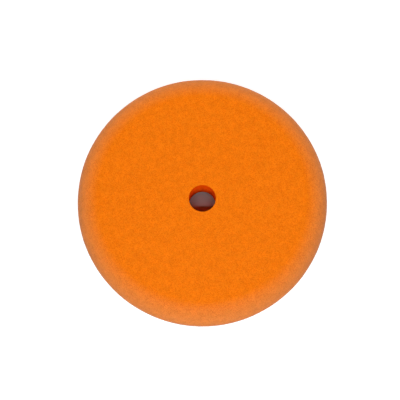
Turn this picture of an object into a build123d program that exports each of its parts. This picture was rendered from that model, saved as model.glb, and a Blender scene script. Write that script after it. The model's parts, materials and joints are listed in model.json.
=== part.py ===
"""Foam polishing pad for a dual-action machine polisher.

The pad is a laminate. A thick disc of open-cell foam does the polishing. A hot-melt film bonds it
to a knitted backing cloth, and the cloth carries a pile of loops that grips the hooks of the
machine's backing plate. One punched hole runs through all the layers.

Units are millimetres. +Z points from the loop side to the working face. The origin is the centre
of the loop side, so the pad lies on z = 0 with its working face up.
"""

from build123d import *

import math
import os

# Foam disc
girth_diameter = 150.0  # the widest circle, just under the rounded shoulder
foam_thickness = 22.7
shoulder_radius = 14.0  # the arc between the working face and the flank
flank_angle = 6.5  # degrees that the flank leans in towards the backing

# Backing, from the foam down
film_thickness = 0.2
cloth_thickness = 0.5
pile_height = 1.6
backing_inset = 1.0  # from the foam's lower edge in to the backing's edge

# Centring hole, punched through foam, film, cloth and pile in one stroke
hole_diameter = 16.0

# Heights of the layers
cloth_base = pile_height
film_base = cloth_base + cloth_thickness
foam_base = film_base + film_thickness
working_face = foam_base + foam_thickness

# Flank, a straight line that meets the shoulder arc without a corner
lean = math.radians(flank_angle)
shoulder_centre_radius = girth_diameter / 2 - shoulder_radius
shoulder_centre_height = working_face - shoulder_radius


def flank_radius(height):
    """Radius of the flank's line at a height. The line touches the shoulder arc at its lower end."""
    drop = shoulder_centre_height - height
    return shoulder_centre_radius + (shoulder_radius - drop * math.sin(lean)) / math.cos(lean)


lower_edge_radius = flank_radius(foam_base)
backing_radius = lower_edge_radius - backing_inset
hole_radius = hole_diameter / 2


# The foam's half section has a sharp outer corner, which the shoulder arc then rounds.
with BuildPart() as foam_body:
    with BuildSketch(Plane.XZ) as foam_section:
        with BuildLine():
            Polyline(
                (0, foam_base),
                (lower_edge_radius, foam_base),
                (flank_radius(working_face), working_face),
                (0, working_face),
                close=True,
            )
        make_face()
        outer_corner = foam_section.vertices().group_by(Axis.Y)[-1].sort_by(Axis.X)[-1]
        fillet(outer_corner, radius=shoulder_radius)
    revolve(axis=Axis.Z)
    Hole(radius=hole_radius)

# The film that melts into both the foam's cells and the cloth.
with BuildPart() as adhesive_film:
    with BuildSketch(Plane.XY.offset(film_base)):
        Circle(backing_radius)
    extrude(amount=film_thickness)
    Hole(radius=hole_radius)

# The knitted ground cloth that holds the loops.
with BuildPart() as backing_cloth:
    with BuildSketch(Plane.XY.offset(cloth_base)):
        Circle(backing_radius)
    extrude(amount=cloth_thickness)
    Hole(radius=hole_radius)

# The space that the loops fill. The pad stands on it.
with BuildPart() as loop_pile:
    with BuildSketch(Plane.XY):
        Circle(backing_radius)
    extrude(amount=pile_height)
    Hole(radius=hole_radius)

foam_body.part.label = "foam_body"
adhesive_film.part.label = "adhesive_film"
backing_cloth.part.label = "backing_cloth"
loop_pile.part.label = "loop_pile"

os.makedirs("parts", exist_ok=True)
export_step(foam_body.part, "parts/foam_body.step")
export_step(adhesive_film.part, "parts/adhesive_film.step")
export_step(backing_cloth.part, "parts/backing_cloth.step")
export_step(loop_pile.part, "parts/loop_pile.step")
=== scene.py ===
"""Looks of a foam polishing pad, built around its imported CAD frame.

The pad lies on its loop side with the working face up. Its foam disc, knitted backing and loop pile
are modelled here as detailed meshes, each in the place of its plain CAD solid. The hot-melt film
keeps its CAD shape and gets a finish. Everything is in metres, +Z up, in the frame of the CAD.
"""

from __future__ import annotations

import json
import logging
import math
from dataclasses import dataclass, field
from enum import Enum

import bpy
import numpy as np
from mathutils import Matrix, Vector

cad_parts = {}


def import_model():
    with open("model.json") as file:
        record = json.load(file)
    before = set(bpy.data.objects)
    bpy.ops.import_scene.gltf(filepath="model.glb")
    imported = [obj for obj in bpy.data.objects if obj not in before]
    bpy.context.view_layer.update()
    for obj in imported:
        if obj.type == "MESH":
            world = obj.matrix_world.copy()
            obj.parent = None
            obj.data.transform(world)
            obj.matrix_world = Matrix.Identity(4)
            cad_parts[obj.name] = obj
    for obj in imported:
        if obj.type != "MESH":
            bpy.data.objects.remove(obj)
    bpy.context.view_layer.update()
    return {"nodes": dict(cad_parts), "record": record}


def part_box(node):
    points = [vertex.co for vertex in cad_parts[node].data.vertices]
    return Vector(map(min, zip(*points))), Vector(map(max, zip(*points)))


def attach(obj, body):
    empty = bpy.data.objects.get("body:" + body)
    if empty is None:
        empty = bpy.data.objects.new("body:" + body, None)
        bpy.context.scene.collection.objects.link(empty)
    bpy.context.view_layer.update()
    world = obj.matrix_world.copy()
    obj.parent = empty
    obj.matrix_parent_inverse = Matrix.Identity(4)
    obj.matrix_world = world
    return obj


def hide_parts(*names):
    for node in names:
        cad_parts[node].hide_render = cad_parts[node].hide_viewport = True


MM = 0.001
BODY = "root"
BAKE_MAP = "OFBake"

log = logging.getLogger("polishing_pad")


# ---- colours and nodes


def linear(hex_colour: str) -> tuple[float, float, float, float]:
    """Turns an sRGB hex colour into linear RGBA.

    Args:
        hex_colour: six hex digits after a hash, such as "#f07814".

    Returns:
        Linear red, green and blue, and an alpha of one.
    """
    srgb = np.array([int(hex_colour[i : i + 2], 16) for i in (1, 3, 5)]) / 255
    rgb = np.where(srgb <= 0.04045, srgb / 12.92, ((srgb + 0.055) / 1.055) ** 2.4)
    return (float(rgb[0]), float(rgb[1]), float(rgb[2]), 1.0)


def add_node(
    tree: bpy.types.NodeTree,
    kind: str,
    settings: dict[str, object] | None = None,
    **inputs: object,
) -> bpy.types.Node:
    """Adds a node with its settings, socket values and links.

    Args:
        tree: the node tree that gets it.
        kind: the node's type, such as "ShaderNodeTexNoise".
        settings: attributes of the node itself, such as its operation.
        **inputs: a value or an output socket per input. Underscores stand for spaces, and a name
            that starts with "at" is the input's number, as in at0.

    Returns:
        The new node.
    """
    node = tree.nodes.new(kind)
    for name, value in (settings or {}).items():
        setattr(node, name, value)
    for name, value in inputs.items():
        key = int(name[2:]) if name[:2] == "at" and name[2:].isdigit() else name.replace("_", " ")
        socket = node.inputs[key]
        if isinstance(value, bpy.types.NodeSocket):
            tree.links.new(value, socket)
        else:
            socket.default_value = value
    return node


def new_material(name: str) -> tuple[bpy.types.Material, bpy.types.NodeTree]:
    """Makes an empty node material.

    Args:
        name: what the material is and how its surface was made.

    Returns:
        The material and its node tree.
    """
    material = bpy.data.materials.new(name)
    material.use_nodes = True
    material.node_tree.nodes.clear()
    return material, material.node_tree


def close_tree(tree: bpy.types.NodeTree, shader: bpy.types.Node) -> None:
    """Links a shader's first output to a new material output."""
    add_node(tree, "ShaderNodeOutputMaterial", Surface=shader.outputs[0])


# ---- noise on arrays


def hashed(cells: np.ndarray, seed: int) -> np.ndarray:
    """Three even random numbers from 0 to 1 for each whole-numbered cell.

    The cell's three numbers are multiplied by large primes and mixed bit by bit, so a cell gets the
    same numbers on every run.

    Args:
        cells: whole numbers, shape (n, 3).
        seed: another set of numbers for each seed.

    Returns:
        Numbers of shape (n, 3).
    """
    c = cells.astype(np.int64).astype(np.uint64)
    mixed = c[:, 0] * np.uint64(73856093) ^ c[:, 1] * np.uint64(19349663)
    mixed ^= c[:, 2] * np.uint64(83492791) ^ np.uint64(seed * 2654435761)
    mixed &= np.uint64(0xFFFFFFFF)
    columns = []
    for _ in range(3):
        mixed ^= mixed >> np.uint64(16)
        mixed = (mixed * np.uint64(0x45D9F3B)) & np.uint64(0xFFFFFFFF)
        mixed ^= mixed >> np.uint64(15)
        mixed = (mixed * np.uint64(0x2C1B3C6D)) & np.uint64(0xFFFFFFFF)
        columns.append((mixed & np.uint64(0xFFFFFF)).astype(float) / 0xFFFFFF)
    return np.stack(columns, axis=1)


def foam_cells(points: np.ndarray, size: float, seed: int) -> tuple[np.ndarray, np.ndarray]:
    """Distances to the nearest and the second nearest of randomly placed cell centres.

    Each cube of space holds one centre, and a point looks into its own cube and the 26 around it.
    The gap between the two distances is nought on a wall between two cells.

    Args:
        points: places, shape (n, 3).
        size: the cube's edge, which is the mean cell size.
        seed: another foam for each seed.

    Returns:
        The nearest and second nearest distance, each as a share of size.
    """
    scaled = points / size
    home = np.floor(scaled)
    nearest = np.full(len(points), np.inf)
    second = nearest.copy()
    steps = np.array([(i, j, k) for i in (-1, 0, 1) for j in (-1, 0, 1) for k in (-1, 0, 1)])
    for step in steps:
        cell = home + step
        away = np.linalg.norm(cell + hashed(cell, seed) - scaled, axis=1)
        second = np.minimum(second, np.maximum(nearest, away))
        nearest = np.minimum(nearest, away)
    return nearest, second


def smooth_noise(points: np.ndarray, size: float, seed: int) -> np.ndarray:
    """Soft noise from -1 to 1: random values at a lattice's corners, blended by a smooth step.

    Args:
        points: places, shape (n, 3).
        size: the lattice's spacing.
        seed: another noise for each seed.

    Returns:
        One value per point.
    """
    scaled = points / size
    home = np.floor(scaled)
    part = scaled - home
    part = part * part * (3 - 2 * part)
    total = np.zeros(len(points))
    for corner in np.array([(i, j, k) for i in (0, 1) for j in (0, 1) for k in (0, 1)]):
        share = np.where(corner == 1, part, 1 - part).prod(axis=1)
        total += share * (2 * hashed(home + corner, seed)[:, 0] - 1)
    return total


# ---- meshes from arrays


@dataclass
class Faces:
    """Faces of one width: corner indices, their places on the bake map, and the finish's number."""

    corners: np.ndarray
    places: np.ndarray
    slot: int = 0


def mesh_object(
    name: str,
    points: np.ndarray,
    faces: list[Faces],
    *materials: bpy.types.Material,
    smooth: bool = True,
) -> bpy.types.Object:
    """Puts arrays into a new mesh object at the origin.

    Args:
        name: the piece's name.
        points: corners in metres, shape (n, 3).
        faces: groups of triangles or quads with their map places.
        *materials: the piece's finishes, in the order of the groups' slots.
        smooth: whether the faces are shaded smooth.

    Returns:
        The object, linked to the scene.
    """
    mesh = bpy.data.meshes.new(name)
    totals = np.concatenate([np.full(len(f.corners), f.corners.shape[1]) for f in faces])
    loops = np.concatenate([f.corners.ravel() for f in faces])
    places = np.concatenate([f.places.reshape(-1, 2) for f in faces])
    slots = np.concatenate([np.full(len(f.corners), f.slot) for f in faces])
    mesh.vertices.add(len(points))
    mesh.vertices.foreach_set("co", points.astype(np.float32).ravel())
    mesh.loops.add(len(loops))
    mesh.loops.foreach_set("vertex_index", loops.astype(np.int32))
    mesh.polygons.add(len(totals))
    starts = np.concatenate([[0], np.cumsum(totals)[:-1]])
    mesh.polygons.foreach_set("loop_start", starts.astype(np.int32))
    mesh.polygons.foreach_set("use_smooth", np.full(len(totals), smooth))
    mesh.polygons.foreach_set("material_index", slots.astype(np.int32))
    mesh.update(calc_edges=True)
    layer = mesh.uv_layers.new(name=BAKE_MAP)
    layer.uv.foreach_set("vector", places.astype(np.float32).ravel())
    for material in materials:
        mesh.materials.append(material)
    piece = bpy.data.objects.new(name, mesh)
    bpy.context.scene.collection.objects.link(piece)
    return piece


@dataclass
class Turned:
    """A closed surface of revolution on rings, with more corners on wide rings than on narrow ones.

    The rings run once round a closed half section. A ring has start_count times a power of two
    corners, the fewest that lie no further apart than widest_gap, and neighbouring rings differ by
    at most one doubling.
    """

    section: np.ndarray
    widest_gap: float
    start_count: int = 60
    counts: np.ndarray = field(init=False)

    def __post_init__(self) -> None:
        """Works out how many corners each ring has."""
        around = 2 * math.pi * self.section[:, 0]
        doublings = np.ceil(np.log2(np.maximum(around / self.widest_gap / self.start_count, 1)))
        for _ in range(8):
            low = np.minimum(np.roll(doublings, 1), np.roll(doublings, -1)) + 1
            doublings = np.minimum(doublings, low)
        self.counts = (self.start_count * 2**doublings).astype(int)

    def spread(self, per_ring: np.ndarray) -> np.ndarray:
        """Repeats each ring's row once for each of its corners."""
        return np.repeat(per_ring, self.counts, axis=0)

    def angles(self) -> np.ndarray:
        """The angle of every corner about the axis: its share of its ring's full turn.

        Returns:
            One angle per corner, in radians.
        """
        first = np.cumsum(self.counts) - self.counts
        place = np.arange(self.counts.sum()) - self.spread(first)
        return 2 * math.pi * place / self.spread(self.counts)

    def about_axis(self, per_ring: np.ndarray) -> np.ndarray:
        """Turns each ring's radius, or outward share, by its corners' angles and keeps its height."""
        angle, ring = self.angles(), self.spread(per_ring)
        return np.stack([ring[:, 0] * np.cos(angle), ring[:, 0] * np.sin(angle), ring[:, 1]], axis=1)

    def points(self) -> np.ndarray:
        """Every corner's place, shape (n, 3)."""
        return self.about_axis(self.section)

    def normals(self) -> np.ndarray:
        """Outward normals of the bare surface: the section's tangent turned by a quarter.

        Returns:
            One unit vector per corner, shape (n, 3).
        """
        along = np.roll(self.section, -1, axis=0) - np.roll(self.section, 1, axis=0)
        out = np.stack([along[:, 1], -along[:, 0]], axis=1)
        return self.about_axis(-out / np.linalg.norm(out, axis=1, keepdims=True))

    def faces(self, inner_rings: int = 0) -> list[Faces]:
        """Quads between equal rings, and three triangles per step where a ring doubles.

        The bake map is the surface rolled out: the axis's turn goes across, and the section up.

        Args:
            inner_rings: how many of the first rings have the second finish.

        Returns:
            The faces, in groups of one width and one finish.
        """
        first = np.cumsum(self.counts) - self.counts
        step = np.linalg.norm(np.roll(self.section, -1, axis=0) - self.section, axis=1)
        height = np.concatenate([[0], np.cumsum(step)]) / step.sum()
        groups: dict[tuple[int, int], list[tuple[np.ndarray, np.ndarray]]] = {}
        total = len(self.counts)

        def corner(ring: int, up: float, place: np.ndarray) -> tuple[np.ndarray, np.ndarray]:
            """Looks up corners of one ring.

            Args:
                ring: the ring's number.
                up: the ring's height on the map.
                place: which of its corners; one past the last is the first again.

            Returns:
                The corners' numbers in the mesh, and their places on the map.
            """
            count = self.counts[ring]
            across = np.stack([place / count, np.full(len(place), up)], axis=1)
            return first[ring] + place % count, across

        for ring in range(total):
            after = (ring + 1) % total
            low, high = height[ring], height[ring + 1]
            near, far = self.counts[ring], self.counts[after]
            i = np.arange(min(near, far))
            if near == far:
                made = [[(ring, low, i), (after, high, i), (after, high, i + 1), (ring, low, i + 1)]]
            elif far > near:
                made = [
                    [(ring, low, i), (after, high, 2 * i), (after, high, 2 * i + 1)],
                    [(ring, low, i), (after, high, 2 * i + 1), (ring, low, i + 1)],
                    [(ring, low, i + 1), (after, high, 2 * i + 1), (after, high, 2 * i + 2)],
                ]
            else:
                made = [
                    [(after, high, i), (ring, low, 2 * i + 1), (ring, low, 2 * i)],
                    [(after, high, i), (after, high, i + 1), (ring, low, 2 * i + 1)],
                    [(after, high, i + 1), (ring, low, 2 * i + 2), (ring, low, 2 * i + 1)],
                ]
            for face in made:
                corners = [corner(*c) for c in face]
                numbers = np.stack([c[0] for c in corners], axis=1)
                places = np.stack([c[1] for c in corners], axis=1)
                kind = (len(face), int(ring < inner_rings))
                groups.setdefault(kind, []).append((numbers, places))
        return [
            Faces(np.concatenate([g[0] for g in group]), np.concatenate([g[1] for g in group]), slot)
            for (_, slot), group in groups.items()
        ]


def along_line(start: tuple[float, float], end: tuple[float, float], step: float) -> np.ndarray:
    """Evenly spaced points on a straight line.

    Args:
        start: radius and height of the first point.
        end: radius and height that the last point stops one step short of.
        step: the spacing to come near to.

    Returns:
        Radius and height of each point, shape (n, 2).
    """
    a, b = np.array(start), np.array(end)
    count = max(1, round(float(np.linalg.norm(b - a)) / step))
    return a + (b - a) * (np.arange(count) / count)[:, None]


def along_arc(
    centre: tuple[float, float], radius: float, start: float, end: float, step: float
) -> np.ndarray:
    """Evenly spaced points on an arc: the centre plus the radius turned through the angles.

    Args:
        centre: radius and height of the arc's centre.
        radius: the arc's own radius.
        start: the first point's angle, in radians.
        end: the angle that the last point stops one step short of.
        step: the spacing to come near to.

    Returns:
        Radius and height of each point, shape (n, 2).
    """
    count = max(2, round(abs(end - start) * radius / step))
    angle = start + (end - start) * np.arange(count) / count
    return np.array(centre) + radius * np.stack([np.cos(angle), np.sin(angle)], axis=1)


# ---- finishes


class FoamCut(Enum):
    """How a surface of the foam was made, with the name of its material."""

    GROUND = "skived_and_ground_polyurethane_foam"
    DIE_CUT = "die_cut_polyurethane_foam"


@dataclass(frozen=True)
class FoamFinish:
    """Open-cell polyurethane foam, skived flat and ground round at the edge, or cut by a die.

    Every cell is cut open at another depth, so the surface is a fine grain of small soft-edged pits
    between strut ends. The pits are painted darker and redder, as shade in the cells' hollows, and
    the strut ends paler and yellower, as a painted highlight. It is dull, because light is lost in
    the cells. Grinding the shoulder and the flank leaves a fuzz of broken struts, which is paler
    than the skived face and catches light at a glancing angle; the paler colour towards the edge
    stands for that fuzz and also paints in the glancing sheen. The die leaves the wall of the hole
    clean, without fuzz; its deeper colour is painted light, for the redder light that bounces in
    the hole and passes through the foam. Real cells are about 0.4 mm across. The pits are drawn
    at 0.52 mm and the drift of tone at 4 mm, because finer ones would not show.
    """

    face: str = "#e76d00"
    # Paler colour that the shoulder and flank ramp towards: the real fuzz of the ground surface, and
    # also painted sheen, the glancing haze laid into the colour.
    ground: str = "#f19856"
    # Painted light: the hole's wall is deeper and redder than the face, standing in for the light that
    # reddens by bouncing in the hole and passing through the foam.
    die_cut: str = "#f05800"
    # Painted shade: multiplied into the pits, so the hollows of the cells read darker and redder.
    pit_shade_tint: str = "#eee2d8"
    # Painted highlight: added on the strut ends, so they read paler and yellower.
    strut_highlight_tint: str = "#3a3c10"
    pit_mm: float = 0.52
    grain_mm: float = 0.3
    drift_mm: float = 4.0
    # Share of that paler colour at the edge: ground fuzz and painted sheen together.
    fuzz: float = 0.54
    roughness: float = 0.48
    gloss: float = 0.08
    bloom: float = 0.25
    bloom_spread: float = 0.25
    bloom_tint: str = "#ffe2c4"
    warp: float = 0.9
    bowl_edge: float = 0.75
    bowl_floor: float = 0.1
    grain_share: float = 0.7
    tone_low: float = 0.925
    tone_high: float = 1.065
    bump_mm: float = 0.18

    def pits(self, tree: bpy.types.NodeTree, at: bpy.types.NodeSocket) -> bpy.types.NodeSocket:
        """How deep a place lies in the cut cells: round bowls of random depth, and fine grain.

        Args:
            tree: the material's node tree.
            at: the place, as the piece's own coordinates.

        Returns:
            The depth, from nought on a strut's end to more than one in a deep pit.
        """
        wobble = add_node(tree, "ShaderNodeTexNoise", Vector=at, Scale=1 / (self.pit_mm * MM))
        warped = add_node(
            tree, "ShaderNodeVectorMath", {"operation": "MULTIPLY_ADD"},
            at0=wobble.outputs["Color"], at1=(self.warp * self.pit_mm * MM,) * 3, at2=at,
        )
        cells = add_node(
            tree, "ShaderNodeTexVoronoi", {"feature": "F1"}, Vector=warped.outputs["Vector"],
            Scale=1 / (self.pit_mm * MM),
        )
        bowl = add_node(
            tree, "ShaderNodeMapRange", {"interpolation_type": "SMOOTHSTEP"},
            Value=cells.outputs["Distance"], From_Min=self.bowl_edge, From_Max=self.bowl_floor,
        )
        chance = add_node(tree, "ShaderNodeSeparateColor", Color=cells.outputs["Color"])
        pit = add_node(
            tree, "ShaderNodeMath", {"operation": "MULTIPLY"}, at0=bowl.outputs[0],
            at1=chance.outputs[0],
        )
        grain = add_node(
            tree, "ShaderNodeTexNoise", Vector=at, Scale=1 / (self.grain_mm * MM), Detail=2.0
        )
        depth = add_node(
            tree, "ShaderNodeMath", {"operation": "MULTIPLY_ADD"}, at0=grain.outputs["Fac"],
            at1=self.grain_share, at2=pit.outputs[0],
        )
        return depth.outputs[0]

    def make(self, cut: FoamCut, fuzz_and_sheen_from: float, fuzz_and_sheen_to: float) -> bpy.types.Material:
        """Builds the material.

        Args:
            cut: which of the foam's two kinds of surface.
            fuzz_and_sheen_from: distance from the axis where the ground shoulder starts, and with it
                the paler fuzz and the painted sheen.
            fuzz_and_sheen_to: distance from the axis where the fuzz and the painted sheen are at their
                full share.

        Returns:
            The material.
        """
        material, tree = new_material(cut.value)
        at = add_node(tree, "ShaderNodeTexCoord").outputs["Object"]
        depth = self.pits(tree, at)
        drift = add_node(
            tree, "ShaderNodeTexNoise", Vector=at, Scale=1 / (self.drift_mm * MM), Detail=4.0,
            Roughness=0.65,
        )
        flat = add_node(
            tree, "ShaderNodeVectorMath", {"operation": "MULTIPLY"}, at0=at, at1=(1.0, 1.0, 0.0)
        )
        away = add_node(tree, "ShaderNodeVectorMath", {"operation": "LENGTH"}, at0=flat.outputs[0])
        # Ramp by distance from the axis towards the paler colour: ground fuzz and painted sheen.
        fuzz_and_painted_sheen = add_node(
            tree, "ShaderNodeMapRange", {"interpolation_type": "SMOOTHSTEP"},
            Value=away.outputs["Value"], From_Min=fuzz_and_sheen_from, From_Max=fuzz_and_sheen_to, To_Max=self.fuzz,
        )
        fuzz_and_sheen_colour = add_node(
            tree, "ShaderNodeMix", {"data_type": "RGBA"}, Factor=fuzz_and_painted_sheen.outputs[0],
            at6=linear(self.face if cut is FoamCut.GROUND else self.die_cut),
            at7=linear(self.ground),
        )
        # Painted shade in the pits, growing with their depth.
        pit_shade_share = add_node(tree, "ShaderNodeMapRange", Value=depth, From_Min=0.45, From_Max=1.0)
        pit_shaded = add_node(
            tree, "ShaderNodeMix", {"data_type": "RGBA", "blend_type": "MULTIPLY"},
            Factor=pit_shade_share.outputs[0], at6=fuzz_and_sheen_colour.outputs[2], at7=linear(self.pit_shade_tint),
        )
        # Painted highlight on the strut ends, where the surface stands highest; faint on the die-cut
        # wall.
        ends = add_node(
            tree, "ShaderNodeMapRange", Value=depth, From_Min=0.6, From_Max=0.25,
            To_Max=1.0 if cut is FoamCut.GROUND else 0.1,
        )
        strut_highlighted = add_node(
            tree, "ShaderNodeMix", {"data_type": "RGBA", "blend_type": "ADD"},
            Factor=ends.outputs[0], at6=pit_shaded.outputs[2], at7=linear(self.strut_highlight_tint),
        )
        shade = add_node(
            tree, "ShaderNodeMapRange", Value=drift.outputs["Fac"], From_Min=0.3, From_Max=0.7,
            To_Min=self.tone_low, To_Max=self.tone_high,
        )
        colour = add_node(
            tree, "ShaderNodeHueSaturation", Value=shade.outputs[0], Color=strut_highlighted.outputs[2]
        )
        bump = add_node(
            tree, "ShaderNodeBump", {"invert": True}, Strength=0.45, Distance=self.bump_mm * MM,
            Height=depth,
        )
        foam = add_node(
            tree, "ShaderNodeBsdfPrincipled", Base_Color=colour.outputs[0],
            Roughness=self.roughness,
            Specular_IOR_Level=self.gloss if cut is FoamCut.GROUND else 0.0,
            Sheen_Weight=self.bloom if cut is FoamCut.GROUND else 0.0,
            Sheen_Roughness=self.bloom_spread, Sheen_Tint=linear(self.bloom_tint),
            Normal=bump.outputs[0],
        )
        close_tree(tree, foam)
        return material


@dataclass(frozen=True)
class YarnFinish:
    """Textured nylon yarn: many fine filaments with a soft, slightly silky sheen.

    A filament is 0.02 mm thick, so its streaks are drawn at the width of a whole strand.
    """

    name: str
    light: str
    dark: str
    strand_mm: float = 0.25
    tone_mm: float = 2.2
    roughness: float = 0.7

    def make(self) -> bpy.types.Material:
        """Builds the material: fine noise for the filaments, coarse noise for tone between yarns.

        Returns:
            The material.
        """
        material, tree = new_material(self.name)
        at = add_node(tree, "ShaderNodeTexCoord").outputs["Object"]
        strands = add_node(
            tree, "ShaderNodeTexNoise", Vector=at, Scale=1 / (self.strand_mm * MM), Detail=1.0
        )
        tone = add_node(
            tree, "ShaderNodeTexNoise", Vector=at, Scale=1 / (self.tone_mm * MM), Detail=2.0
        )
        mixed = add_node(
            tree, "ShaderNodeMath", {"operation": "MULTIPLY_ADD"}, at0=strands.outputs["Fac"],
            at1=0.5, at2=tone.outputs["Fac"],
        )
        spread = add_node(
            tree, "ShaderNodeMapRange", Value=mixed.outputs[0], From_Min=0.5, From_Max=1.0
        )
        colour = add_node(
            tree, "ShaderNodeMix", {"data_type": "RGBA"}, Factor=spread.outputs[0],
            at6=linear(self.dark), at7=linear(self.light),
        )
        bump = add_node(
            tree, "ShaderNodeBump", Strength=0.4, Distance=0.05 * MM, Height=strands.outputs["Fac"]
        )
        yarn = add_node(
            tree, "ShaderNodeBsdfPrincipled", Base_Color=colour.outputs[2],
            Roughness=self.roughness, Sheen_Weight=0.35, Sheen_Roughness=0.4,
            Normal=bump.outputs[0],
        )
        close_tree(tree, yarn)
        return material


@dataclass(frozen=True)
class KnitFinish:
    """Warp-knitted nylon ground cloth, matt and dark: rows of stitches, with painted shade in the dips
    between them.

    The wales stand 1.21 mm apart and the courses 1.0 mm, as in the cloths that carry such loops.
    """

    thread: str = "#7c7c82"
    # Painted shade: the colour of the dips between the stitches, darker than the thread.
    gap: str = "#3a3a3f"
    wale_mm: float = 1.21
    course_mm: float = 1.0
    fuzz_mm: float = 0.3

    def make(self) -> bpy.types.Material:
        """Builds the material: ridges across X for the wales, times ridges across Y for the courses.

        Returns:
            The material.
        """
        material, tree = new_material("warp_knitted_nylon")
        at = add_node(tree, "ShaderNodeTexCoord").outputs["Object"]
        ridges = []
        for axis, pitch in (("X", self.wale_mm), ("Y", self.course_mm)):
            wave = add_node(
                tree, "ShaderNodeTexWave", {"bands_direction": axis}, Vector=at,
                Scale=math.pi / (10 * pitch * MM), Distortion=1.5, Detail=1.0, Detail_Scale=2.0,
            )
            ridges.append(wave.outputs["Fac"])
        knit = add_node(
            tree, "ShaderNodeMath", {"operation": "MULTIPLY"}, at0=ridges[0], at1=ridges[1]
        )
        fuzz = add_node(
            tree, "ShaderNodeTexNoise", Vector=at, Scale=1 / (self.fuzz_mm * MM), Detail=2.0
        )
        height = add_node(
            tree, "ShaderNodeMath", {"operation": "MULTIPLY_ADD"}, at0=fuzz.outputs["Fac"], at1=0.5,
            at2=knit.outputs[0],
        )
        # Darker where the cloth lies lower: painted shade in the dips.
        colour = add_node(
            tree, "ShaderNodeMix", {"data_type": "RGBA"}, Factor=height.outputs[0],
            at6=linear(self.gap), at7=linear(self.thread),
        )
        bump = add_node(
            tree, "ShaderNodeBump", Strength=0.6, Distance=0.15 * MM, Height=height.outputs[0]
        )
        cloth = add_node(
            tree, "ShaderNodeBsdfPrincipled", Base_Color=colour.outputs[2], Roughness=0.85,
            Sheen_Weight=0.25, Sheen_Roughness=0.5, Normal=bump.outputs[0],
        )
        close_tree(tree, cloth)
        return material


@dataclass(frozen=True)
class FilmFinish:
    """Hot-melt adhesive: a milky film, glossier where it has flowed and clouded by foam in it."""

    milky: str = "#d9c7a6"
    stained: str = "#cf8f52"
    cloud_mm: float = 1.5

    def make(self) -> bpy.types.Material:
        """Builds the material: soft noise mixes the two tones and sets how rough the film is.

        Returns:
            The material.
        """
        material, tree = new_material("hot_melt_adhesive")
        at = add_node(tree, "ShaderNodeTexCoord").outputs["Object"]
        clouds = add_node(
            tree, "ShaderNodeTexNoise", Vector=at, Scale=1 / (self.cloud_mm * MM), Detail=3.0
        )
        colour = add_node(
            tree, "ShaderNodeMix", {"data_type": "RGBA"}, Factor=clouds.outputs["Fac"],
            at6=linear(self.milky), at7=linear(self.stained),
        )
        rough = add_node(
            tree, "ShaderNodeMapRange", Value=clouds.outputs["Fac"], To_Min=0.3, To_Max=0.6
        )
        bump = add_node(
            tree, "ShaderNodeBump", Strength=0.3, Distance=0.05 * MM, Height=clouds.outputs["Fac"]
        )
        film = add_node(
            tree, "ShaderNodeBsdfPrincipled", Base_Color=colour.outputs[2],
            Roughness=rough.outputs[0], IOR=1.48, Normal=bump.outputs[0],
        )
        close_tree(tree, film)
        return material


@dataclass(frozen=True)
class PaperFinish:
    """Matt pale paper on a light table: its own glow makes it white, but not under the pad.

    The glow starts just outside the pad's foot and grows with the distance from the lamps, so that
    the paper is as white far away as it is near the pad. Only the eye sees it, so it lights nothing.
    """

    # Painted shade: the paper under the pad, seen down the hole, is a darker grey than the paper
    # around it.
    shaded: str = "#bcbcbc"
    white: str = "#d4d4d4"
    foot: float = 74 * MM
    foot_blend: float = 10 * MM
    near_glow: float = 0.66
    far_glow: float = 1.05
    far_from: float = 0.25
    far_to: float = 0.9

    def make(self) -> bpy.types.Material:
        """Builds the material, with a grain too fine and faint to mark the floor.

        Returns:
            The material.
        """
        material, tree = new_material("pale_background_paper")
        at = add_node(tree, "ShaderNodeTexCoord").outputs["Object"]
        away = add_node(tree, "ShaderNodeVectorMath", {"operation": "LENGTH"}, at0=at)
        near = add_node(
            tree, "ShaderNodeMapRange", {"interpolation_type": "SMOOTHSTEP"},
            Value=away.outputs["Value"], From_Min=self.foot - self.foot_blend, From_Max=self.foot,
            To_Max=self.near_glow,
        )
        far = add_node(
            tree, "ShaderNodeMapRange", Value=away.outputs["Value"], From_Min=self.far_from,
            From_Max=self.far_to, To_Max=self.far_glow - self.near_glow,
        )
        glow = add_node(tree, "ShaderNodeMath", at0=near.outputs[0], at1=far.outputs[0])
        ray = add_node(tree, "ShaderNodeLightPath")
        seen = add_node(
            tree, "ShaderNodeMath", {"operation": "MULTIPLY"}, at0=glow.outputs[0],
            at1=ray.outputs["Is Camera Ray"],
        )
        uncovered = add_node(
            tree, "ShaderNodeMapRange", Value=away.outputs["Value"],
            From_Min=self.foot - self.foot_blend, From_Max=self.foot,
        )
        # Darker paper under the pad, as painted shade.
        sheet = add_node(
            tree, "ShaderNodeMix", {"data_type": "RGBA"}, Factor=uncovered.outputs[0],
            at6=linear(self.shaded), at7=linear(self.white),
        )
        grain = add_node(tree, "ShaderNodeTexNoise", Vector=at, Scale=1 / (1.2 * MM))
        bump = add_node(
            tree, "ShaderNodeBump", Strength=0.05, Distance=0.02 * MM, Height=grain.outputs["Fac"]
        )
        paper = add_node(
            tree, "ShaderNodeBsdfPrincipled", Base_Color=sheet.outputs[2], Roughness=1.0,
            Specular_IOR_Level=0.0, Emission_Color=(1, 1, 1, 1), Emission_Strength=seen.outputs[0],
            Normal=bump.outputs[0],
        )
        close_tree(tree, paper)
        return material


# ---- the pad's pieces


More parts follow.
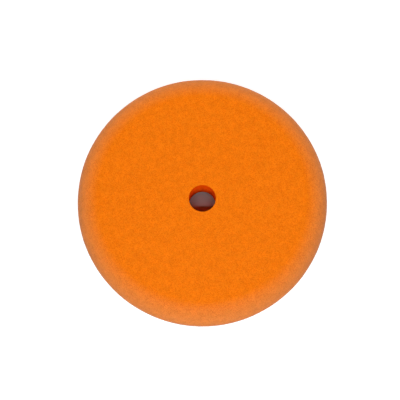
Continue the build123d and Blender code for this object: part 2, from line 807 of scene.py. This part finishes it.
@dataclass
class FoamDisc:
    """The foam disc: a flat working face, a rounded shoulder and a flank that leans in."""

    widest: float
    base: float
    face: float
    hole: float
    shoulder: float = 14.0 * MM
    lean: float = math.radians(6.5)
    rim_round: float = 0.12 * MM
    lower_round: float = 0.4 * MM
    grid: float = 0.42 * MM
    pore: float = 1.7 * MM
    pore_depth: float = 0.16 * MM
    unevenness: float = 0.12 * MM
    wander_size: float = 12 * MM
    glue_line: float = 0.5 * MM
    wall_share: float = 0.2

    def flank(self, height: float) -> float:
        """Radius of the flank's line at a height; the line touches the shoulder's arc."""
        drop = (self.face - self.shoulder - height) * math.sin(self.lean)
        return self.widest - self.shoulder + (self.shoulder - drop) / math.cos(self.lean)

    def section(self) -> np.ndarray:
        """The closed half section, from the hole's foot up, outwards, down and back under.

        Returns:
            Radius and height of each ring, shape (n, 2).
        """
        rim, foot, step = self.rim_round, self.lower_round, self.grid
        arc_r, arc_z = self.widest - self.shoulder, self.face - self.shoulder
        low = self.flank(self.base + foot)
        turn_r = arc_r + self.shoulder * math.cos(self.lean)
        turn_z = arc_z - self.shoulder * math.sin(self.lean)
        right = math.pi / 2
        return np.concatenate(
            [
                along_line((self.hole, self.base), (self.hole, self.face - rim), step),
                along_arc((self.hole + rim, self.face - rim), rim, 2 * right, right, step / 2),
                along_line((self.hole + rim, self.face), (arc_r, self.face), step),
                along_arc((arc_r, arc_z), self.shoulder, right, -self.lean, step),
                along_line((turn_r, turn_z), (low, self.base + foot), step),
                along_arc((low - foot, self.base + foot), foot, 0, -right, step / 2),
                along_line((low - foot, self.base), (self.hole, self.base), 4 * step),
            ]
        )

    def relief(self, points: np.ndarray) -> np.ndarray:
        """How far each point sinks below the bare surface.

        Open cells are dimples that are deepest at the cell's centre and nought on its walls, drawn
        as fine as the mesh can carry, and the cut wanders a little over a centimetre. The base,
        which is glued down, stays flat, and the wall that the die cut is smoother than the rest.

        Args:
            points: places on the bare surface, shape (n, 3).

        Returns:
            One depth per point.
        """
        nearest, second = foam_cells(points, self.pore, seed=11)
        wall = np.clip((second - nearest) / 0.55, 0, 1)
        dimples = self.pore_depth * wall * wall * (3 - 2 * wall)
        fine = 0.5 * self.pore_depth * (0.5 + 0.5 * smooth_noise(points, 0.5 * self.pore, seed=23))
        wander = self.unevenness * (0.5 + 0.5 * smooth_noise(points, self.wander_size, seed=5))
        glued = np.clip((points[:, 2] - self.base) / self.glue_line, 0, 1)
        smoothed = np.clip((np.hypot(points[:, 0], points[:, 1]) - self.hole) / MM, self.wall_share, 1)
        return (dimples + fine + wander) * glued * smoothed

    def build(self, finish: FoamFinish) -> bpy.types.Object:
        """Makes the disc and hides the plain CAD foam body that it replaces.

        Args:
            finish: the foam's look, from which both of its materials are made.

        Returns:
            The piece.
        """
        turned = Turned(self.section(), self.grid * 1.25)
        points = turned.points()
        points = points - turned.normals() * self.relief(points)[:, None]
        # Where the paler fuzz and the painted sheen ramp in, across the shoulder.
        shoulder = (self.widest - 0.95 * self.shoulder, self.widest)
        wall_rings = int((self.section()[:, 1] < self.face - self.rim_round).argmin())
        piece = mesh_object(
            "foam_disc",
            points,
            turned.faces(wall_rings),
            *(finish.make(cut, *shoulder) for cut in FoamCut),
        )
        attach(piece, BODY)
        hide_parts("foam_body")
        log.info("foam_disc: %d faces", len(piece.data.polygons))
        return piece


@dataclass
class BackingCloth:
    """The knitted ground cloth: a thin die-cut ring, glued under the foam, with frayed cut edges."""

    hole: float
    radius: float
    low: float
    high: float
    grid: float = 0.62 * MM
    fray: float = 0.16 * MM
    fray_size: float = 0.9 * MM
    sag: float = 0.09 * MM
    sag_size: float = 1.3 * MM

    def section(self) -> np.ndarray:
        """The closed half section: up the hole's edge, out on top, down the rim and back under.

        Returns:
            Radius and height of each ring, shape (n, 2).
        """
        thick = self.high - self.low
        return np.concatenate(
            [
                along_line((self.hole, self.low), (self.hole, self.high), thick / 3),
                along_line((self.hole, self.high), (self.radius, self.high), 4 * self.grid),
                along_line((self.radius, self.high), (self.radius, self.low), thick / 3),
                along_line((self.radius, self.low), (self.hole, self.low), self.grid),
            ]
        )

    def build(self, finish: KnitFinish, pile: list[bpy.types.Object]) -> bpy.types.Object:
        """Makes the cloth.

        The two cut edges wander in and out by the fray. The underside rises between the stitches
        by soft noise, and only ever into the cloth, so that the loops stay rooted in it.

        Args:
            finish: the cloth's material.
            pile: the loop pieces that grow from it; not used.

        Returns:
            The piece.
        """
        turned = Turned(self.section(), self.grid)
        points = turned.points()
        out = turned.normals()
        edge = np.abs(out[:, 2]) < 0.5
        under = out[:, 2] < -0.5
        frayed = self.fray * (0.5 + 0.5 * smooth_noise(points, self.fray_size, seed=31))
        dipped = self.sag * (0.5 + 0.5 * smooth_noise(points, self.sag_size, seed=37))
        sink = np.where(edge, frayed, 0.0) + np.where(under, dipped, 0.0)
        points = points - out * sink[:, None]
        piece = mesh_object("backing_knit", points, turned.faces(), finish.make())
        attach(piece, BODY)
        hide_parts("backing_cloth")
        log.info("backing_knit: %d faces", len(piece.data.polygons))
        return piece


class Wales(Enum):
    """The two sets of stitch rows. Their loops lean opposite ways, which keeps the pile upright."""

    LEFT = -1
    RIGHT = 1


@dataclass
class LoopPile:
    """Brushed nylon loops rooted in the ground cloth, and the cut ends along its two edges."""

    hole: float
    radius: float
    height: float
    pitch: float = 1.21 * MM
    yarn: float = 0.13 * MM
    root: float = 0.2 * MM
    stations: int = 6
    sides: int = 3
    edge_gap: float = 0.3 * MM
    most_turn: float = math.radians(38)
    end_spacing: float = 0.95 * MM
    end_radii: tuple[float, ...] = (1.0, 1.0, 0.9, 0.7)

    def tubes(self, paths: np.ndarray, across: np.ndarray, radii: np.ndarray) -> np.ndarray:
        """Carries a ring of corners along many short paths at once.

        At each station the ring lies in the plane of two directions square to the path: the one
        across the loop's own plane, and its cross product with the path's direction.

        Args:
            paths: the yarn's middle line, shape (loops, stations, 3).
            across: each loop's plane normal, shape (loops, 3).
            radii: the yarn's radius at each station.

        Returns:
            Corners of shape (loops, stations, sides, 3).
        """
        ahead = np.gradient(paths, axis=1)
        ahead /= np.linalg.norm(ahead, axis=2, keepdims=True)
        side = across[:, None] - ahead * (across[:, None] * ahead).sum(axis=2, keepdims=True)
        side /= np.linalg.norm(side, axis=2, keepdims=True)
        up = np.cross(ahead, side)
        turn = 2 * math.pi * np.arange(self.sides) / self.sides
        ring = np.cos(turn)[:, None] * side[:, :, None] + np.sin(turn)[:, None] * up[:, :, None]
        return paths[:, :, None] + ring * radii[:, None, None]

    def tube_faces(self, tubes: int, stations: int, first: int, cells: int, cell: int) -> list[Faces]:
        """Sides and end caps of tubes whose corners follow each other.

        Each tube has its own square of the bake map: its sides fill the left four fifths of the
        square, and its two end caps stand in the rest.

        Args:
            tubes: how many tubes there are.
            stations: rings in each tube.
            first: the number of the first corner.
            cells: squares along one side of the map.
            cell: the first tube's square.

        Returns:
            The quads, then the triangles.
        """
        base = first + np.arange(tubes)[:, None, None] * stations * self.sides
        k, i = np.meshgrid(np.arange(stations - 1), np.arange(self.sides), indexing="ij")
        after = (i + 1) % self.sides
        low, high = base + k * self.sides, base + (k + 1) * self.sides
        quads = np.stack([low + i, low + after, high + after, high + i], axis=-1).reshape(-1, 4)
        number = cell + np.arange(tubes)
        corner = np.stack([number % cells, number // cells], axis=1) / cells
        x = 0.05 + 0.7 * np.stack([k, k, k + 1, k + 1], axis=-1) / (stations - 1)
        y = 0.05 + 0.85 * np.stack([i, i + 1, i + 1, i], axis=-1) / self.sides
        inside = np.stack([x, y], axis=-1).reshape(1, -1, 4, 2) / cells
        places = (corner[:, None, None] + inside).reshape(-1, 4, 2)
        start = base[:, 0, 0, None] + np.arange(self.sides)[None, ::-1]
        end = base[:, 0, 0, None] + (stations - 1) * self.sides + np.arange(self.sides)[None]
        caps = np.concatenate([start, end])
        fan = np.array([[0.8, 0.05], [0.95, 0.05], [0.88, 0.4]])
        shapes = np.stack([fan, fan + np.array([0, 0.5])]) / cells
        cap_places = np.concatenate([corner[:, None] + shapes[0], corner[:, None] + shapes[1]])
        return [Faces(quads, places), Faces(caps, cap_places)]

    def loops(self, wales: Wales) -> tuple[np.ndarray, np.ndarray]:
        """Middle lines of the whole loops of one set of rows.

        A loop leaves the cloth, bulges like an omega and comes back beside its start: along its
        row it follows a cosine that is widened at half height, and downwards a flattened sine.

        Args:
            wales: which set of rows.

        Returns:
            The paths, shape (loops, stations, 3), and each loop's plane normal.
        """
        reach = math.ceil(self.radius / self.pitch) + 1
        places = np.arange(-reach, reach + 1)
        rows = places[(places % 2 == 0) == (wales is Wales.LEFT)]
        row, place = (a.ravel() for a in np.meshgrid(rows, places, indexing="ij"))
        cell = np.stack([row, place, np.zeros_like(row)], axis=1)
        chance, other, third = hashed(cell, 41), hashed(cell, 43), hashed(cell, 47)
        foot = np.stack([row + 0.5 * (chance[:, 0] - 0.5), place + 0.5 * (row % 2)], axis=1)
        foot[:, 1] += 0.5 * (chance[:, 1] - 0.5)
        foot *= self.pitch
        yaw = self.most_turn * (2 * chance[:, 2] - 1) + math.pi / 2
        span = (0.62 + 0.3 * other[:, 0]) * MM
        tall = self.height - self.yarn - 0.45 * MM * other[:, 1] ** 2
        lean = wales.value * (0.15 + 0.45 * other[:, 2]) * MM
        t = np.linspace(0, 1, self.stations)
        bulge = -np.cos(math.pi * t) * (1 + 0.55 * np.sin(math.pi * t))
        drop = np.sin(math.pi * t) ** 0.75
        drop = drop / drop.max()
        along = np.stack([np.cos(yaw), np.sin(yaw)], axis=1)
        flat = foot[:, None] + along[:, None] * (bulge[None, :, None] * span[:, None, None] / 2)
        twist = (third[:, 0] - 0.5) * 0.3 * MM
        flat[..., 0] += lean[:, None] * drop[None] ** 1.5
        flat[..., 1] += twist[:, None] * drop[None]
        depth = self.height + self.root - drop[None] * (tall + self.root)[:, None]
        paths = np.concatenate([flat, depth[..., None]], axis=2)
        far = np.linalg.norm(flat, axis=2)
        inside = far.max(axis=1) < self.radius - self.edge_gap
        whole = inside & (far.min(axis=1) > self.hole + self.edge_gap)
        across = np.stack([-along[:, 1], along[:, 0], np.zeros(len(along))], axis=1)
        return paths[whole], across[whole]

    def cut_ends(self, wales: Wales) -> tuple[np.ndarray, np.ndarray]:
        """Middle lines of the yarn ends along the die-cut edges.

        Each starts in the cloth just inside an edge and curls outwards a little on its way down, by
        a share that grows with the square of the way.

        Args:
            wales: which set of rows.

        Returns:
            The paths, shape (ends, stations, 3), and each end's plane normal.
        """
        paths, across = [], []
        for rim, way, seed in ((self.radius, -1, 53), (self.hole, 1, 59)):
            count = int(2 * math.pi * rim / self.end_spacing)
            cell = np.stack([np.arange(count), np.full(count, wales.value), np.zeros(count)], axis=1)
            chance, other = hashed(cell, seed), hashed(cell, seed + 2)
            angle = 2 * math.pi * (np.arange(count) + chance[:, 0]) / count
            start = rim + way * (0.3 + 0.35 * chance[:, 1]) * MM
            t = np.linspace(0, 1, len(self.end_radii))
            length = (0.5 + 0.5 * other[:, 0]) * (self.height - 0.2 * MM)
            r = start[:, None] + (rim - start)[:, None] * (0.1 + 0.6 * chance[:, 2:]) * t[None] ** 2
            swing = angle[:, None] + (other[:, 1:2] - 0.5) * 0.5 * MM / rim * t[None]
            z = self.height + self.root - t[None] * (length + self.root)[:, None]
            paths.append(np.stack([r * np.cos(swing), r * np.sin(swing), z], axis=2))
            across.append(np.stack([-np.sin(angle), np.cos(angle), np.zeros(count)], axis=1))
        return np.concatenate(paths), np.concatenate(across)

    def build(self, wales: Wales, yarn: bpy.types.Material) -> bpy.types.Object:
        """Makes one set of loops with its cut ends.

        Args:
            wales: which set of rows.
            yarn: the material that both sets share.

        Returns:
            The piece.
        """
        paths, across = self.loops(wales)
        ends, ends_across = self.cut_ends(wales)
        cells = math.ceil(math.sqrt(len(paths) + len(ends)))
        whole = self.tubes(paths, across, np.full(self.stations, self.yarn))
        cut = self.tubes(ends, ends_across, self.yarn * np.array(self.end_radii))
        points = np.concatenate([whole.reshape(-1, 3), cut.reshape(-1, 3)])
        first = whole.size // 3
        faces = self.tube_faces(len(paths), self.stations, 0, cells, 0)
        faces += self.tube_faces(len(ends), len(self.end_radii), first, cells, len(paths))
        piece = mesh_object(f"loops_{wales.name.lower()}", points, faces, yarn)
        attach(piece, BODY)
        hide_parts("loop_pile")
        log.info("%s: %d loops, %d cut ends", piece.name, len(paths), len(ends))
        return piece


# ---- the studio


@dataclass(frozen=True)
class SoftBox:
    """A rectangular lamp aimed at the pad, placed by direction and distance."""

    name: str
    azimuth: float
    elevation: float
    distance: float
    width: float
    height: float
    power: float
    glossy: bool = False

    def build(self, target: Vector) -> None:
        """Makes the lamp. Azimuth 0 is the camera's side, and the lamp itself isn't seen.

        Args:
            target: the place that it points at.
        """
        turn, tilt = math.radians(self.azimuth), math.radians(self.elevation)
        level = math.cos(tilt)
        away = Vector((math.sin(turn) * level, -math.cos(turn) * level, math.sin(tilt)))
        lamp = bpy.data.lights.new(self.name, "AREA")
        lamp.shape = "RECTANGLE"
        lamp.size, lamp.size_y = self.width, self.height
        lamp.energy = self.power
        holder = bpy.data.objects.new(self.name, lamp)
        holder.location = target + away * self.distance
        holder.rotation_mode = "QUATERNION"
        holder.rotation_quaternion = (-away).to_track_quat("-Z", "Y")
        holder.visible_camera = False
        holder.visible_glossy = self.glossy
        bpy.context.scene.collection.objects.link(holder)


@dataclass
class Studio:
    """White paper floor, four soft lamps, a steep slit lamp that shines down the hole, a camera."""

    floor_radius: float = 4.0
    floor_corners: int = 64
    floor_drop: float = 0.05 * MM
    fill: float = 0.03
    backdrop: float = 1.05
    camera_elevation: float = 80.0
    camera_distance: float = 1.5
    frame_width: float = 0.2398
    aim: tuple[float, float, float] = (-1.4 * MM, 0.9 * MM, 14.0 * MM)
    target: tuple[float, float, float] = (0.0, 0.0, 20.0 * MM)
    boxes: tuple[SoftBox, ...] = (
        SoftBox("front_box", 0, 51, 1.0, 0.9, 0.3, 7.55, True),
        SoftBox("left_box", -90, 42, 1.0, 0.9, 0.35, 0.7),
        SoftBox("right_box", 90, 42, 1.0, 0.9, 0.35, 0.55),
        SoftBox("back_box", 180, 42, 1.0, 0.9, 0.35, 6.15),
        SoftBox("slit_box", 0, 73.4, 1.2, 0.5, 0.01, 2.35),
    )

    def build_floor(self) -> None:
        """Makes the floor: a wide paper disc just under the pile."""
        count = self.floor_corners
        turn = 2 * math.pi * np.arange(count) / count
        rim = np.stack([np.cos(turn), np.sin(turn), np.zeros(count)], axis=1) * self.floor_radius
        rim[:, 2] = -self.floor_drop
        corners = np.arange(count)[None]
        places = (rim[None, :, :2] / self.floor_radius + 1) / 2
        sheet = [Faces(corners, places)]
        mesh_object("paper_floor", rim, sheet, PaperFinish().make(), smooth=False)

    def build_world(self) -> None:
        """Makes the surroundings: white where they are seen, and a dim even fill as light."""
        world = bpy.data.worlds.new("studio")
        bpy.context.scene.world = world
        world.use_nodes = True
        tree = world.node_tree
        tree.nodes.clear()
        ray = add_node(tree, "ShaderNodeLightPath")
        strength = add_node(
            tree, "ShaderNodeMapRange", Value=ray.outputs["Is Camera Ray"], To_Min=self.fill,
            To_Max=self.backdrop,
        )
        light = add_node(
            tree, "ShaderNodeBackground", Color=(1, 1, 1, 1), Strength=strength.outputs[0]
        )
        add_node(tree, "ShaderNodeOutputWorld", Surface=light.outputs[0])

    def build_camera(self) -> None:
        """Makes the camera: nearly overhead, from the front, with a long lens."""
        scene = bpy.context.scene
        tilt = math.radians(self.camera_elevation)
        away = Vector((0, -math.cos(tilt), math.sin(tilt)))
        lens = bpy.data.cameras.new("camera")
        lens.sensor_width = 36.0
        lens.lens = lens.sensor_width * self.camera_distance / self.frame_width
        lens.clip_start, lens.clip_end = 0.05, 50.0
        camera = bpy.data.objects.new("camera", lens)
        camera.location = Vector(self.aim) + away * self.camera_distance
        camera.rotation_mode = "QUATERNION"
        camera.rotation_quaternion = (-away).to_track_quat("-Z", "Y")
        scene.collection.objects.link(camera)
        scene.camera = camera
        scene.view_settings.view_transform = "Standard"
        scene.view_settings.look = "None"

    def build(self) -> None:
        """Makes the floor, the surroundings, the lamps and the camera."""
        self.build_floor()
        self.build_world()
        for box in self.boxes:
            box.build(Vector(self.target))
        self.build_camera()


def main() -> None:
    """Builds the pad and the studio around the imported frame."""
    logging.basicConfig(level=logging.INFO, format="%(name)s: %(message)s")
    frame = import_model()
    foam_low, foam_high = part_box("foam_body")
    bore = next(m for m in frame["record"]["mounts"] if m["name"] == "centre_hole")
    hole = bore["dims"]["r_mm"] * MM
    FoamDisc(foam_high.x, foam_low.z, foam_high.z, hole).build(FoamFinish())
    cloth_low, cloth_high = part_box("backing_cloth")
    pile = LoopPile(hole, cloth_high.x, cloth_low.z)
    yarn = YarnFinish("brushed_nylon_yarn", "#96969b", "#55555a").make()
    loops = [pile.build(wales, yarn) for wales in Wales]
    BackingCloth(hole, cloth_high.x, cloth_low.z, cloth_high.z).build(KnitFinish(), loops)
    film = frame["nodes"]["adhesive_film"]
    film.data.materials.clear()
    film.data.materials.append(FilmFinish().make())
    Studio().build()


if __name__ == "__main__":
    main()
